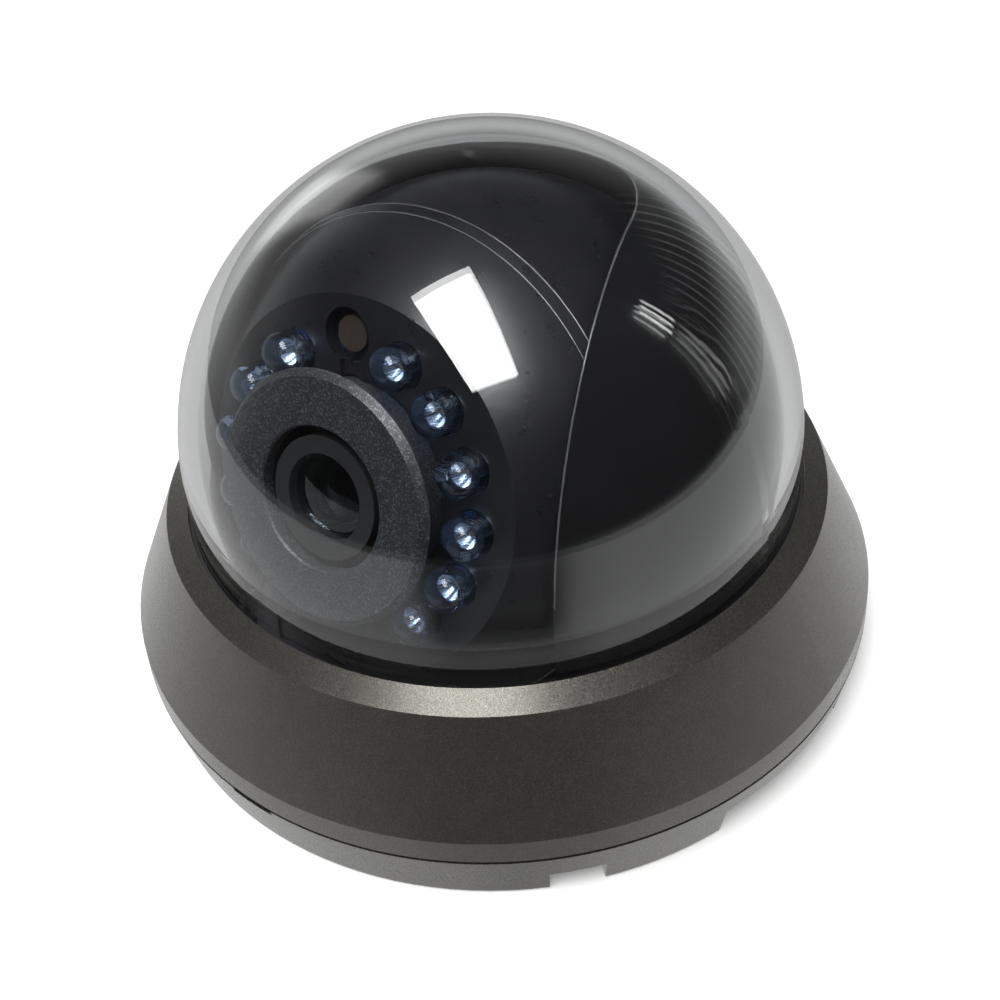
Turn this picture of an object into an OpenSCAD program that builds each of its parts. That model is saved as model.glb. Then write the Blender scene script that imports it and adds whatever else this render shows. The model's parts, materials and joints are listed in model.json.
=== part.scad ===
// Indoor dome camera: a low round base, a lift-off cover with a clear dome, and inside it a
// three-axis camera ball (pan, tilt, rotate) behind a slotted dark liner.
// Millimetres. The origin is the centre of the mounting face, +Z points to the top of the dome,
// and the lens looks towards -Y, a little above the horizontal.

/* [Base] */
// Radius of the base where it meets the mounting surface
base_r = 45.9; // [45.6:0.1:46.4]
// Radius of the housing at the seam between base and cover
seam_r = 47.15; // [46.9:0.05:47.6]
// Height of the base's outer skirt
skirt_h = 7.2; // [7.0:0.1:7.3]
// Thickness of the base's floor
floor_t = 2.4; // [2.2:0.1:2.4]
// Distance from the centre to each of the two mounting holes
mount_hole_at = 39; // [38.6:0.1:39.4]
// Radius of a mounting hole
mount_hole_r = 2.1; // [1.8:0.1:2.3]
// Radius of the bore in the cable grommet
cable_bore_r = 3.2; // [2.5:0.1:4]
// Width of the side outlet for a surface-run cable
outlet_w = 23.4; // [16:0.2:24]
// Height of the side outlet
outlet_h = 4.4; // [4.2:0.1:4.8]

/* [Cover] */
// Height where the cover's upright lower band ends
band_top = 10.65; // [10.2:0.05:11]
// Height where the steep cone ends and the bright chamfer starts
cone_top = 24.0; // [23.6:0.1:24.2]
// Radius where the cone ends
cone_top_r = 40.8; // [40.6:0.1:41.2]
// Height of the cover's upper edge, around the dome
cover_top = 25.3; // [25.1:0.1:25.5]
// Radius of the cover's round opening
opening_r = 38.0; // [37.95:0.05:38.2]

/* [Dome] */
// Height of the dome's centre, where all the ball's axes meet
dome_z = 29.5; // [29.3:0.1:30]
// Outer radius of the clear dome
dome_r = 37.5; // [37.4:0.05:37.5]
// Wall thickness of the clear dome
dome_wall = 2.3; // [2:0.1:2.3]

/* [Liner] */
// Inner radius of the dark liner
liner_in_r = 34.0; // [33.8:0.05:34.1]
// Wall thickness of the liner
liner_wall = 0.8; // [0.7:0.1:1]
// Distance from the centre to the edges of the liner's slot
slot_half = 17; // [16:0.5:18]
// Angle by which each slot edge opens towards the front
slot_flare = 17; // [15:1:19]

/* [Camera ball] */
// Elevation of the lens axis at rest, in degrees
lens_elevation = 20; // [14:1:40]
// Rotation of the face about the lens axis at rest, in degrees
face_roll = -11; // [-20:1:20]
// Outer radius of the ball's front shell
shell_r = 32.6; // [32.4:0.1:32.8]
// Outer radius of the ball's carrier, behind the front shell
carrier_r = 31.4; // [31.2:0.1:31.6]
// Distance from the dome's centre to the flat face with the lamps
face_d = 25.4; // [25.2:0.1:25.6]
// Number of infrared lamps on each side of the light sensor
leds_per_side = 6; // [3:1:6]
// Angle from the light sensor to the first lamp on each side
led_first = 27; // [26:1:30]
// Angle between neighbouring lamps
led_pitch = 24; // [23:0.5:24]
// Radius of the ring that the lamps stand on
led_ring_r = 15.5; // [15.4:0.1:15.6]
// Radius of one lamp
led_r = 2.4; // [2.2:0.05:2.4]
// Outer radius of the speckled plate around the lens
plate_r = 13.7; // [13.2:0.1:13.8]

/* [Hidden] */
$fn = 96;
eps = 0.01;
big = 200;

housing = [0.33, 0.32, 0.30];
black = [0.05, 0.05, 0.06];
satin_black = [0.10, 0.10, 0.11];
steel = [0.75, 0.76, 0.78];
rubber = [0.03, 0.03, 0.03];
board = [0.05, 0.30, 0.16];
clear = [0.85, 0.90, 0.95, 0.25];

// Base: the spigot that the cover slides over, and the well that the turntable sits in
lip_r = 44.2;
lip_in_r = 42.9;
lip_top = 9.6;
edge_break = 0.4;
overlap = 0.2;
cut_reach = 20;
grommet_r = 8;
grommet_flange_r = 9.5;
recess_t = 0.8;
grommet_lift = 0.1;
grommet_rim_t = 1;
well_in_r = 32;
well_out_r = 33.4;
well_top = 5.6;
clamp_boss_at = 35;
clamp_boss_r = 2.3;
clamp_angles = [45, 135, 225, 315];
rib_t = 1.2;
rib_top = 4.6;
rib_angles = [20, 70, 110, 160, 200, 250, 290];
seal_t = 0.4;
seal_gap = 0.1;
seal_inset = 0.35;
outlet_y = -5.8;
outlet_in_x = 36;
foot_notch_az = 45.5;
foot_notch_w = 6.4;
foot_notch_h = 3.6;
pry_az = -2;
pry_w = 6;
pry_h = 0.8;
pry_wall = 0.6;

// Screws: every small screw is the same pan-head size
head_r = 1.7;
head_h = 1.2;
shank_r = 1.0;
pilot_r = 1.02;
through_r = 1.1;
head_taper = 0.4;
drive_l = 2;
drive_w = 0.4;
drive_depth = 0.6;
clamp_screw_l = 5;
retainer_screw_l = 4.6;
yoke_screw_l = 2.8;
liner_screw_l = 5;
shell_screw_l = 4;
board_screw_l = 5;

// Turntable, pan body
washer_t = 0.6;
washer_in_r = 24;
washer_out_r = 31;
table_z = floor_t + washer_t;
table_r = 31.7;
table_t = 2.0;
table_top = table_z + table_t;
rim_in_r = 30.2;
rim_top = 5.5;
clamp_lip_r = 30.5;
clamp_t = 1.0;
table_hole_r = 11;
post_at = 28.4;
post_r = 1.7;
post_top = 8.4;
post_pilot_from = 0.6;
post_pilot_l = 9;
tab_w = 6;
tab_t = 1;
post_angles = [55, 125, 235, 305];
arm_in_x = 28.3;
arm_t = 2.0;
arm_foot_w = 17.6;
arm_bottom = 7;
riser_t = 1.1;
riser_h = 4;
arm_top_r = 6;
foot_in_x = 23.4;
foot_t = 1.2;
foot_hole_x = 25.4;
foot_hole_y = 5.5;
pin_r = 2.0;
pin_bore_r = 2.05;
pin_head_r = 3.2;
pin_head_t = 1.1;
pin_end_x = 25.4;
pin_drive_l = 4;
pin_drive_w = 0.6;
pin_drive_depth = 0.6;
pin_washer_r = 4.5;
pin_washer_gap = 0.1;

// Cover and dome
cover_bottom = skirt_h + seal_t;
cover_in_r = 44.5;
ledge_wall = 1.33;
cone_foot_wall = 2.15;
cone_foot_z = 11.3;
band_in_top = 10;
band_draft = 0.15;
ledge_z = 23.2;
gasket_t = 0.8;
flange_top = ledge_z - gasket_t;
flange_t = 1.8;
flange_r = 39.2;
gasket_drop = 0.5;
flange_z = flange_top - flange_t;
retainer_in_r = 36.4;
retainer_out_r = 38.2;
retainer_z = 14.8;
ear_t = 1.6;
ear_w = 6;
ear_root_r = retainer_in_r + 0.5;
ear_out_r = 42.2;
ear_hole_at = 40.4;
ear_angles = [45, 135, 225, 315];
cover_boss_r = 2.0;
cover_boss_top = 20.2;
cover_pilot_l = 5;
fit_gap = 0.05;
slot_tuck = 0.05;

// Ball, along the lens axis from the dome's centre
seam_d = 16;
carrier_face_d = 15.8;
carrier_wall = 1.8;
carrier_half_x = 26.8;
visor_front = 40;
visor_back = 115;
ear_plate_x = 24.6;
ear_plate_t = 2.0;
ear_plate_r = 13.6;
ear_arm_w = 14;
ear_boss_r = 5;
ear_boss_x = 27.8;
web_d = 14.2;
ear_into_ring = 0.8;
neck_r = 22;
neck_in_r = 20.6;
neck_top_d = 18.9;
clip_r = 23.5;
clip_d = 17.7;
clip_t = 0.9;
clip_fit = 0.02;
clip_gap_w = 8;
shell_in_r = 30.4;
shell_rear_t = 1.6;
shell_bore_r = 22.1;
face_t = 1.5;
face_hole_r = 11.9;
led_hole_gap = 0.1;
led_centre_d = 27.1;
led_flange_r = 2.9;
led_flange_t = 1;
led_board_d = 19.3;
board_t = 1.6;
led_board_top = led_board_d + board_t;
led_board_r = 19.6;
led_board_hole_r = 9;
shell_post_at = 16.6;
shell_post_r = 1.7;
shell_post_angles = [168, 192];
photocell_at = 16.2;
photocell_r = 1.9;
photocell_hole_r = 2.9;
photocell_top = 24.6;
key_slot_w = 2.4;
key_slot_depth = 0.7;
plate_top_d = 31.1;
plate_bevel = 0.75;
plate_under = 0.5;
hole_break = 0.2;
plate_t = 1.5;
plate_hole_r = 7.8;
sleeve_r = 11.6;
sleeve_in_r = 10.6;

// Lens and boards
sensor_board_d = 10;
sensor_board_top = sensor_board_d + board_t;
board_w = 30;
board_hole_at = 12.5;
main_board_d = 2.4;
main_board_top = main_board_d + board_t;
standoff_r = 1.9;
holder_w = 17;
holder_base_t = 4;
holder_r = 7.9;
holder_top_d = 22;
holder_well_w = 13;
light_r = 3.8;
thread_relief = 0.4;
thread_r = 6.0;
thread_bore_r = 6.05;
barrel_back_d = 15;
lock_r = 8.4;
lock_t = 1.8;
lock_notches = 6;
lock_notch_w = 1.2;
lock_notch_depth = 0.6;
barrel_head_r = 6.7;
barrel_head_d = 25.9;
barrel_top_d = 30.4;
glass_r = 4.75;
glass_back_d = 26.5;
glass_rim_d = 29.3;
glass_crown = 0.7;
tunnel_r = 3.2;
filter_r = 4.6;
filter_d = 13.2;
filter_t = 0.6;
sensor_size = [9, 8, 1.2];
chip_size = [12, 12, 1.4];
connector_size = [12, 5, 4.5];
connector_y = -9;
connector_wall = 1;
connector_floor = 0.5;

// Point of the angle az, measured from -Y towards +X, as a rotation about Z
module at_azimuth(az) {
    rotate([0, 0, az - 90]) children();
}

// Local frame of the lens: +Z runs out along the lens axis and +Y points up
module lens_frame() {
    translate([0, 0, dome_z]) rotate([90 - lens_elevation, 0, 0]) children();
}

// The lens frame turned with the rotating face
module face_frame() {
    lens_frame() rotate([0, 0, -face_roll]) children();
}

module ring(r_in, r_out, z0, z1) {
    translate([0, 0, z0]) difference() {
        cylinder(r = r_out, h = z1 - z0);
        translate([0, 0, -1]) cylinder(r = r_in, h = z1 - z0 + 2);
    }
}

module disc(r, z0, z1) {
    translate([0, 0, z0]) cylinder(r = r, h = z1 - z0);
}

// Band of the half plane x > x0 between two heights, for trimming a revolved outline
module band(x0, z0, z1) {
    translate([x0, z0]) square([big, z1 - z0]);
}

// Pan-head screw: the head stands on z = 0 and the shank reaches down by length
module pan_screw(length) {
    difference() {
        union() {
            cylinder(r1 = head_r, r2 = head_r - head_taper, h = head_h);
            translate([0, 0, -length]) cylinder(r = shank_r, h = length + eps);
        }
        for (turn = [0, 90])
            rotate([0, 0, turn]) translate([-drive_l / 2, -drive_w / 2, head_h - drive_depth])
                cube([drive_l, drive_w, 1]);
    }
}

module base_outline() {
    polygon([
        [0, 0],
        [base_r - edge_break, 0],
        [base_r, edge_break],
        [seam_r, skirt_h],
        [lip_r, skirt_h],
        [lip_r, lip_top],
        [lip_in_r, lip_top],
        [lip_in_r, floor_t],
        [0, floor_t]
    ]);
}

module base_cutouts() {
    disc(grommet_r, -1, floor_t + 1);
    disc(grommet_flange_r + fit_gap, -1, recess_t);
    for (side = [-1, 1])
        translate([0, side * mount_hole_at, -1]) cylinder(r = mount_hole_r, h = floor_t + 2);
    for (az = clamp_angles)
        at_azimuth(az) translate([clamp_boss_at, 0, 1]) cylinder(r = pilot_r, h = well_top);
    translate([outlet_in_x, outlet_y - outlet_w / 2, -1]) cube([cut_reach, outlet_w, outlet_h + 1]);
    at_azimuth(foot_notch_az)
        translate([lip_in_r, -foot_notch_w / 2, -1]) cube([cut_reach, foot_notch_w, foot_notch_h + 1]);
    at_azimuth(pry_az)
        translate([lip_r + pry_wall, -pry_w / 2, skirt_h - pry_h]) cube([cut_reach, pry_w, pry_h + 1]);
}

module base_plate() {
    color(housing) difference() {
        union() {
            rotate_extrude() base_outline();
            ring(well_in_r, well_out_r, floor_t - eps, well_top);
            for (az = clamp_angles)
                at_azimuth(az) translate([clamp_boss_at, 0, floor_t - eps])
                    cylinder(r = clamp_boss_r, h = well_top - floor_t + eps);
            for (az = rib_angles)
                at_azimuth(az) translate([well_out_r - overlap, -rib_t / 2, floor_t - eps])
                    cube([lip_in_r - well_out_r + 2 * overlap, rib_t, rib_top - floor_t]);
        }
        base_cutouts();
        disc(well_in_r, floor_t, well_top + 1);
    }
}

module cable_grommet() {
    color(rubber) difference() {
        union() {
            disc(grommet_r - fit_gap, grommet_lift, floor_t + grommet_rim_t);
            disc(grommet_flange_r, grommet_lift, recess_t - fit_gap);
            disc(grommet_flange_r, floor_t, floor_t + grommet_rim_t);
        }
        disc(cable_bore_r, -1, floor_t + 2);
    }
}

module cover_seal() {
    color(rubber) ring(lip_r + seal_gap, seam_r - seal_inset, skirt_h, cover_bottom);
}

module friction_washer() {
    color(black) ring(washer_in_r, washer_out_r, floor_t, table_z);
}

module clamp_ring() {
    color(black) difference() {
        union() {
            disc(well_out_r, well_top, well_top + clamp_t);
            for (az = clamp_angles)
                at_azimuth(az) translate([clamp_boss_at, 0, well_top])
                    cylinder(r = clamp_boss_r, h = clamp_t);
        }
        disc(clamp_lip_r, well_top - 1, well_top + clamp_t + 1);
        for (az = clamp_angles)
            at_azimuth(az) translate([clamp_boss_at, 0, well_top - 1])
                cylinder(r = through_r, h = clamp_t + 2);
    }
}

module clamp_screws() {
    color(steel)
        for (az = clamp_angles)
            at_azimuth(az) translate([clamp_boss_at, 0, well_top + clamp_t])
                pan_screw(clamp_screw_l);
}

module cover_outline() {
    polygon([
        [cover_in_r, cover_bottom],
        [seam_r, cover_bottom],
        [seam_r - band_draft, band_top],
        [cone_top_r, cone_top],
        [opening_r, cover_top],
        [opening_r, ledge_z],
        [cone_top_r - ledge_wall, ledge_z],
        [seam_r - cone_foot_wall, cone_foot_z],
        [cover_in_r, band_in_top]
    ]);
}

module cover_ring() {
    color(housing) difference() {
        union() {
            rotate_extrude() cover_outline();
            for (az = ear_angles)
                at_azimuth(az) translate([ear_hole_at, 0, retainer_z + ear_t])
                    cylinder(r = cover_boss_r, h = cover_boss_top - retainer_z - ear_t);
        }
        for (az = ear_angles)
            at_azimuth(az) translate([ear_hole_at, 0, retainer_z])
                cylinder(r = pilot_r, h = cover_pilot_l);
    }
}

module dome_bubble() {
    color(clear) rotate_extrude() union() {
        difference() {
            union() {
                intersection() {
                    translate([0, dome_z]) circle(dome_r);
                    band(0, dome_z - eps, big);
                }
                translate([0, flange_z]) square([dome_r, dome_z - flange_z]);
                translate([0, flange_z]) square([flange_r, flange_t]);
            }
            translate([0, dome_z]) circle(dome_r - dome_wall);
            translate([-big, flange_z - 1]) square([big + dome_r - dome_wall, dome_z - flange_z + 1]);
            translate([-big, 0]) square([big, big]);
        }
    }
}

module dome_gasket() {
    color(rubber) rotate_extrude() polygon([
        [dome_r + fit_gap, flange_top],
        [flange_r, flange_top],
        [flange_r, ledge_z],
        [opening_r - fit_gap, ledge_z],
        [opening_r - fit_gap, cover_top - gasket_drop],
        [dome_r + fit_gap, cover_top - gasket_drop]
    ]);
}

module dome_retainer() {
    color(black) difference() {
        union() {
            ring(retainer_in_r, retainer_out_r, retainer_z, flange_z);
            for (az = ear_angles)
                at_azimuth(az) translate([ear_root_r, -ear_w / 2, retainer_z])
                    cube([ear_out_r - ear_root_r, ear_w, ear_t]);
        }
        for (az = ear_angles)
            at_azimuth(az) translate([ear_hole_at, 0, retainer_z - 1])
                cylinder(r = through_r, h = ear_t + 2);
    }
}

module retainer_screws() {
    color(steel)
        for (az = ear_angles)
            at_azimuth(az) translate([ear_hole_at, 0, retainer_z]) mirror([0, 0, 1])
                pan_screw(retainer_screw_l);
}

module turntable() {
    color(satin_black) difference() {
        union() {
            disc(table_r, table_z, table_top);
            ring(rim_in_r, table_r, table_z, rim_top);
            for (az = post_angles)
                at_azimuth(az) translate([post_at, 0, table_z])
                    cylinder(r = post_r, h = post_top - table_z);
        }
        disc(table_hole_r, table_z - 1, table_top + 1);
        for (az = post_angles)
            at_azimuth(az) translate([post_at, 0, table_z + post_pilot_from])
                cylinder(r = pilot_r, h = post_pilot_l);
        for (x = [-foot_hole_x, foot_hole_x])
            for (y = [-foot_hole_y, foot_hole_y])
                translate([x, y, table_z - 1]) cylinder(r = pilot_r, h = table_t + 2);
    }
}

module yoke_profile() {
    polygon([
        [-arm_foot_w / 2, arm_bottom],
        [arm_foot_w / 2, arm_bottom],
        [arm_top_r, dome_z],
        [-arm_top_r, dome_z]
    ]);
    translate([0, dome_z]) circle(arm_top_r);
}

// One yoke arm on the +X side: a foot screwed to the turntable, a step up over the clamp ring
// and an upright plate with the pivot bore
module yoke_arm() {
    difference() {
        union() {
            translate([arm_in_x, 0, 0]) rotate([90, 0, 90]) linear_extrude(arm_t) yoke_profile();
            translate([foot_in_x, -arm_foot_w / 2, table_top])
                cube([arm_in_x - foot_in_x, arm_foot_w, foot_t]);
            translate([arm_in_x - riser_t, -arm_foot_w / 2, table_top])
                cube([riser_t + eps, arm_foot_w, riser_h]);
        }
        translate([arm_in_x - 1, 0, dome_z]) rotate([0, 90, 0]) cylinder(r = pin_bore_r, h = 5);
        for (y = [-foot_hole_y, foot_hole_y])
            translate([foot_hole_x, y, table_top - 1]) cylinder(r = through_r, h = foot_t + 2);
    }
}

module yoke_left() {
    color(satin_black) mirror([1, 0, 0]) yoke_arm();
}

module yoke_right() {
    color(satin_black) yoke_arm();
}

module yoke_screws() {
    color(steel)
        for (x = [-foot_hole_x, foot_hole_x])
            for (y = [-foot_hole_y, foot_hole_y])
                translate([x, y, table_top + foot_t]) pan_screw(yoke_screw_l);
}

module pivot_screw() {
    pin_head_z = arm_in_x + arm_t;
    translate([0, 0, dome_z]) rotate([0, 90, 0]) difference() {
        union() {
            disc(pin_r, pin_end_x, pin_head_z + eps);
            disc(pin_head_r, pin_head_z, pin_head_z + pin_head_t);
        }
        for (turn = [0, 90])
            rotate([0, 0, turn])
                translate([-pin_drive_l / 2, -pin_drive_w / 2, pin_head_z + pin_head_t - pin_drive_depth])
                    cube([pin_drive_l, pin_drive_w, 1]);
    }
}

module pivot_screws() {
    color(steel) {
        pivot_screw();
        mirror([1, 0, 0]) pivot_screw();
    }
}

module pivot_washers() {
    color(steel)
        for (side = [0, 1])
            mirror([side, 0, 0]) translate([0, 0, dome_z]) rotate([0, 90, 0])
                ring(pin_r + pin_washer_gap, pin_washer_r, ear_boss_x + fit_gap, arm_in_x);
}

// The slot's outline seen from above: a round end at the top that flares out to the front
module slot_outline() {
    reach = 60;
    edge_x = (slot_half - slot_tuck) * cos(slot_flare);
    edge_y = (slot_half - slot_tuck) * sin(slot_flare);
    circle(slot_half);
    polygon([
        [-edge_x, edge_y],
        [edge_x, edge_y],
        [edge_x + reach * sin(slot_flare), edge_y - reach * cos(slot_flare)],
        [-edge_x - reach * sin(slot_flare), edge_y - reach * cos(slot_flare)]
    ]);
}

module liner() {
    liner_r = liner_in_r + liner_wall;
    color(black) difference() {
        union() {
            rotate_extrude() difference() {
                union() {
                    intersection() {
                        translate([0, dome_z]) circle(liner_r);
                        band(0, dome_z - eps, big);
                    }
                    translate([0, post_top]) square([liner_r, dome_z - post_top]);
                }
                translate([0, dome_z]) circle(liner_in_r);
                translate([-big, 0]) square([big + liner_in_r, dome_z]);
                translate([-big, 0]) square([big, big]);
            }
            for (az = post_angles)
                at_azimuth(az) translate([post_at - post_r, -tab_w / 2, post_top])
                    cube([liner_in_r - post_at + post_r + overlap, tab_w, tab_t]);
        }
        translate([0, 0, post_top + 2 * tab_t]) linear_extrude(big) slot_outline();
        for (az = post_angles)
            at_azimuth(az) translate([post_at, 0, post_top - 1])
                cylinder(r = through_r, h = tab_t + 2);
    }
}

module liner_screws() {
    color(steel)
        for (az = post_angles)
            at_azimuth(az) translate([post_at, 0, post_top + tab_t]) pan_screw(liner_screw_l);
}

// Band of the carrier that closes the liner's slot above the face: a zone of a hollow sphere,
// turned about the tilt axis from just inside the seam to behind the top
module visor() {
    difference() {
        rotate([0, 90, 0]) rotate([0, 0, 180 - visor_back])
            rotate_extrude(angle = visor_back - visor_front) intersection() {
                difference() {
                    circle(carrier_r);
                    circle(carrier_r - carrier_wall);
                }
                band(0, -carrier_half_x, carrier_half_x);
            }
        translate([-big / 2, -big / 2, carrier_face_d]) cube(big);
    }
}

// Side plate with the tilt pivot, on the +X side, joined to the carrier's front ring
module carrier_ear() {
    rotate([90, 0, 90]) translate([0, 0, ear_plate_x])
        linear_extrude(ear_plate_t) {
            circle(ear_plate_r);
            translate([-ear_arm_w / 2, 0]) square([ear_arm_w, web_d + ear_into_ring]);
        }
    rotate([0, 90, 0]) disc(ear_boss_r, ear_plate_x, ear_boss_x);
}

module ball_carrier() {
    color(satin_black) lens_frame() difference() {
        union() {
            visor();
            rotate_extrude() intersection() {
                circle(carrier_r - overlap);
                band(neck_in_r, web_d, carrier_face_d);
            }
            ring(neck_in_r, neck_r, web_d, neck_top_d);
            for (side = [0, 1])
                mirror([side, 0, 0]) carrier_ear();
        }
        translate([-big / 2, 0, 0]) rotate([0, 90, 0]) cylinder(r = pin_bore_r, h = big);
    }
}

module shell_clip() {
    color(steel) lens_frame() difference() {
        ring(neck_r + clip_fit, clip_r, clip_d, clip_d + clip_t);
        translate([-clip_gap_w / 2, 0, clip_d - 1]) cube([clip_gap_w, big, clip_t + 2]);
    }
}

// Angles of the lamps about the lens axis, from straight up towards +X
led_angles = [for (k = [1 : leds_per_side]) for (side = [-1, 1]) side * (led_first + (k - 1) * led_pitch)];

module on_led_ring(angle) {
    rotate([0, 0, -angle]) translate([0, led_ring_r, 0]) children();
}

module front_shell() {
    inner_d0 = seam_d + shell_rear_t;
    inner_d1 = face_d - face_t;
    color(black) face_frame() difference() {
        union() {
            rotate_extrude() difference() {
                intersection() {
                    circle(shell_r);
                    band(0, seam_d, face_d);
                }
                intersection() {
                    circle(shell_in_r);
                    band(0, inner_d0, inner_d1);
                }
                translate([-1, seam_d - 1]) square([shell_bore_r + 1, shell_rear_t + 2]);
                translate([-1, seam_d]) square([face_hole_r + 1, big]);
            }
            for (angle = shell_post_angles)
                rotate([0, 0, -angle]) translate([0, shell_post_at, 0])
                    disc(shell_post_r, led_board_top, inner_d1 + eps);
        }
        for (angle = led_angles)
            on_led_ring(angle) disc(led_r + led_hole_gap, inner_d1 - 1, face_d + 1);
        translate([0, photocell_at, 0]) disc(photocell_hole_r, inner_d1 - 1, face_d + 1);
        translate([-key_slot_w / 2, face_hole_r - 1, face_d - key_slot_depth])
            cube([key_slot_w, photocell_at - face_hole_r + 1, key_slot_depth + 1]);
        for (angle = shell_post_angles)
            rotate([0, 0, -angle]) translate([0, shell_post_at, 0])
                disc(pilot_r, led_board_top - 1, inner_d1 + 0.5);
    }
}

module led_board() {
    color(board) face_frame() difference() {
        disc(led_board_r, led_board_d, led_board_top);
        disc(led_board_hole_r, led_board_d - 1, led_board_top + 1);
        for (angle = shell_post_angles)
            rotate([0, 0, -angle]) translate([0, shell_post_at, 0])
                disc(through_r, led_board_d - 1, led_board_top + 1);
    }
}

module led() {
    rotate_extrude() intersection() {
        union() {
            translate([0, led_centre_d]) circle(led_r);
            translate([0, led_board_top]) square([led_r, led_centre_d - led_board_top]);
            translate([0, led_board_top]) square([led_flange_r, led_flange_t]);
        }
        band(0, led_board_top, big);
    }
}

module ir_leds() {
    color(clear) face_frame()
        for (angle = led_angles)
            on_led_ring(angle) led();
}

module photocell() {
    color([0.45, 0.32, 0.22]) face_frame() translate([0, photocell_at, 0])
        disc(photocell_r, led_board_top, photocell_top);
}

module shell_screws() {
    color(steel) face_frame()
        for (angle = shell_post_angles)
            rotate([0, 0, -angle]) translate([0, shell_post_at, led_board_d])
                mirror([0, 0, 1]) pan_screw(shell_screw_l);
}

module lens_plate() {
    color(housing) face_frame() rotate_extrude() union() {
        polygon([
            [plate_hole_r, plate_top_d - plate_t],
            [plate_r - plate_under, plate_top_d - plate_t],
            [plate_r, plate_top_d - plate_bevel],
            [plate_r - plate_bevel, plate_top_d],
            [plate_hole_r + hole_break, plate_top_d],
            [plate_hole_r, plate_top_d - hole_break]
        ]);
        translate([sleeve_in_r, led_board_top])
            square([sleeve_r - sleeve_in_r, plate_top_d - plate_t - led_board_top + eps]);
    }
}

module lens_holder() {
    color(black) face_frame() difference() {
        union() {
            translate([-holder_w / 2, -holder_w / 2, sensor_board_top])
                cube([holder_w, holder_w, holder_base_t]);
            disc(holder_r, sensor_board_top, holder_top_d);
        }
        translate([-holder_well_w / 2, -holder_well_w / 2, sensor_board_top - 1])
            cube([holder_well_w, holder_well_w, filter_d - sensor_board_top + 1]);
        disc(filter_r + fit_gap, filter_d - 1, filter_d + filter_t);
        disc(light_r, filter_d, holder_top_d);
        disc(thread_bore_r, barrel_back_d - thread_relief, holder_top_d + 1);
    }
}

module lens_lock_ring() {
    color(steel) face_frame() difference() {
        disc(lock_r, holder_top_d, holder_top_d + lock_t);
        disc(thread_bore_r, holder_top_d - 1, holder_top_d + lock_t + 1);
        for (k = [1 : lock_notches])
            rotate([0, 0, k * 360 / lock_notches])
                translate([lock_r - lock_notch_depth, -lock_notch_w / 2, holder_top_d - 1])
                    cube([2, lock_notch_w, lock_t + 2]);
    }
}

module lens_barrel() {
    color(satin_black) face_frame() difference() {
        union() {
            disc(thread_r, barrel_back_d, barrel_head_d);
            disc(barrel_head_r, barrel_head_d, barrel_top_d);
        }
        disc(tunnel_r, barrel_back_d - 1, glass_back_d + 1);
        disc(glass_r + fit_gap, glass_back_d, barrel_top_d + 1);
    }
}

// Front element: a disc with a shallow round crown
module front_lens() {
    crown_r = (glass_r * glass_r + glass_crown * glass_crown) / (2 * glass_crown);
    color(clear) face_frame() rotate_extrude() union() {
        translate([0, glass_back_d]) square([glass_r, glass_rim_d - glass_back_d]);
        intersection() {
            translate([0, glass_rim_d + glass_crown - crown_r]) circle(crown_r);
            band(0, glass_rim_d - eps, big);
        }
    }
}

module ir_cut_filter() {
    color([0.35, 0.75, 0.8]) face_frame() disc(filter_r, filter_d, filter_d + filter_t);
}

module image_sensor() {
    color([0.1, 0.1, 0.12]) face_frame()
        translate([-sensor_size.x / 2, -sensor_size.y / 2, sensor_board_top]) cube(sensor_size);
}

// A square board with a hole near each corner
module square_board(d) {
    difference() {
        translate([-board_w / 2, -board_w / 2, d]) cube([board_w, board_w, board_t]);
        for (x = [-board_hole_at, board_hole_at])
            for (y = [-board_hole_at, board_hole_at])
                translate([x, y, d - 1]) cylinder(r = through_r, h = board_t + 2);
    }
}

module sensor_board() {
    color(board) face_frame() square_board(sensor_board_d);
}

module main_board() {
    color(board) face_frame() square_board(main_board_d);
}

module board_standoffs() {
    color(steel) face_frame()
        for (x = [-board_hole_at, board_hole_at])
            for (y = [-board_hole_at, board_hole_at])
                translate([x, y, 0]) {
                    ring(pilot_r, standoff_r, main_board_top, sensor_board_d);
                    disc(standoff_r, sensor_board_top, led_board_d);
                }
}

module processor_chip() {
    color([0.1, 0.1, 0.12]) face_frame()
        translate([-chip_size.x / 2, -chip_size.y / 2, main_board_top]) cube(chip_size);
}

module board_connector() {
    color([0.9, 0.88, 0.8]) face_frame()
        translate([-connector_size.x / 2, connector_y, main_board_d - connector_size.z]) difference() {
            cube(connector_size);
            translate([connector_wall, connector_wall, -1]) cube([
                connector_size.x - 2 * connector_wall,
                connector_size.y - 2 * connector_wall,
                connector_size.z + 1 - connector_floor
            ]);
        }
}

module board_screws() {
    color(steel) face_frame()
        for (x = [-board_hole_at, board_hole_at])
            for (y = [-board_hole_at, board_hole_at])
                translate([x, y, main_board_d]) mirror([0, 0, 1])
                    pan_screw(board_screw_l);
}

base_plate();
cable_grommet();
cover_seal();
friction_washer();
clamp_ring();
clamp_screws();
cover_ring();
dome_bubble();
dome_gasket();
dome_retainer();
retainer_screws();
turntable();
yoke_left();
yoke_right();
yoke_screws();
pivot_screws();
pivot_washers();
liner();
liner_screws();
ball_carrier();
shell_clip();
front_shell();
led_board();
ir_leds();
photocell();
shell_screws();
lens_plate();
lens_holder();
lens_lock_ring();
lens_barrel();
front_lens();
ir_cut_filter();
image_sensor();
sensor_board();
board_standoffs();
main_board();
processor_chip();
board_connector();
board_screws();
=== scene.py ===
"""Looks of the dome camera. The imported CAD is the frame, and this script adds pieces, materials, a floor,
light and the camera. Lengths are in metres in the CAD's own frame. Named angles are in degrees unless
their comment says otherwise."""

import json
import math
import random

import bmesh
import bpy
from mathutils import Matrix, Vector


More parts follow.
